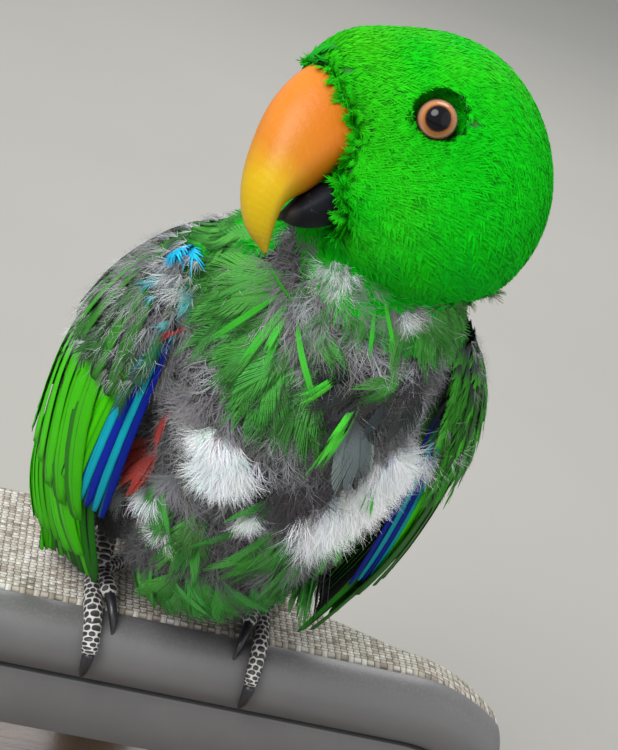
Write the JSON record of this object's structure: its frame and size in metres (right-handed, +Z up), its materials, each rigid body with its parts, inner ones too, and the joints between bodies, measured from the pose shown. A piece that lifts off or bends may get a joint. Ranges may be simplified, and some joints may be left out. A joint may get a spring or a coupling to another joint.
{
  "type": "eclectus parrot",
  "caption": "Still model of a male eclectus parrot, green with an orange bill, head turned to its right, plumage ragged, gripping a cut length of padded rail on a plain display stand.",
  "frame": {"origin": "middle of the stand base's flat underside, below the middle of the perch", "axes": "+Z up; the bird's breast faces -Y and its left side is +X; its bill points towards -X because its head is turned"},
  "size_m": [0.216, 0.1641, 0.3294],
  "materials": {
    "bill_orange": "horn, orange to yellow, slight sheen",
    "bill_black": "horn, black, slight sheen",
    "eye": "wet, glossy",
    "plumage_green": "soft feathers, matt",
    "wing_feathers": "flight feathers, satin",
    "tail_feathers": "tail feathers, satin",
    "down": "loose down, matt",
    "scaled_skin": "scaled, dull",
    "claw_horn": "horn, glossy",
    "rail_paint": "taupe paint, satin",
    "pad_weave": "woven, matt",
    "rod_steel": "brushed",
    "base_wood": "dark stained, satin"
  },
  "bodies": {
    "root": {"head": "plumage_green", "bill_upper": "bill_orange", "bill_lower": "bill_black", "eye_right": "eye", "eye_left": "eye", "neck": "down", "torso": "plumage_green", "tail": "tail_feathers", "wing_right": "wing_feathers", "thigh_right": "down", "foot_right": "scaled_skin", "claw_right_outer_front": "claw_horn", "claw_right_inner_front": "claw_horn", "claw_right_inner_rear": "claw_horn", "claw_right_outer_rear": "claw_horn", "wing_left": "wing_feathers", "thigh_left": "down", "foot_left": "scaled_skin", "claw_left_outer_front": "claw_horn", "claw_left_inner_front": "claw_horn", "claw_left_inner_rear": "claw_horn", "claw_left_outer_rear": "claw_horn", "perch_rail": "rail_paint", "perch_pad": "pad_weave", "stand_rod_right": "rod_steel", "stand_rod_left": "rod_steel", "stand_base": "base_wood"}
  },
  "joints": []
}
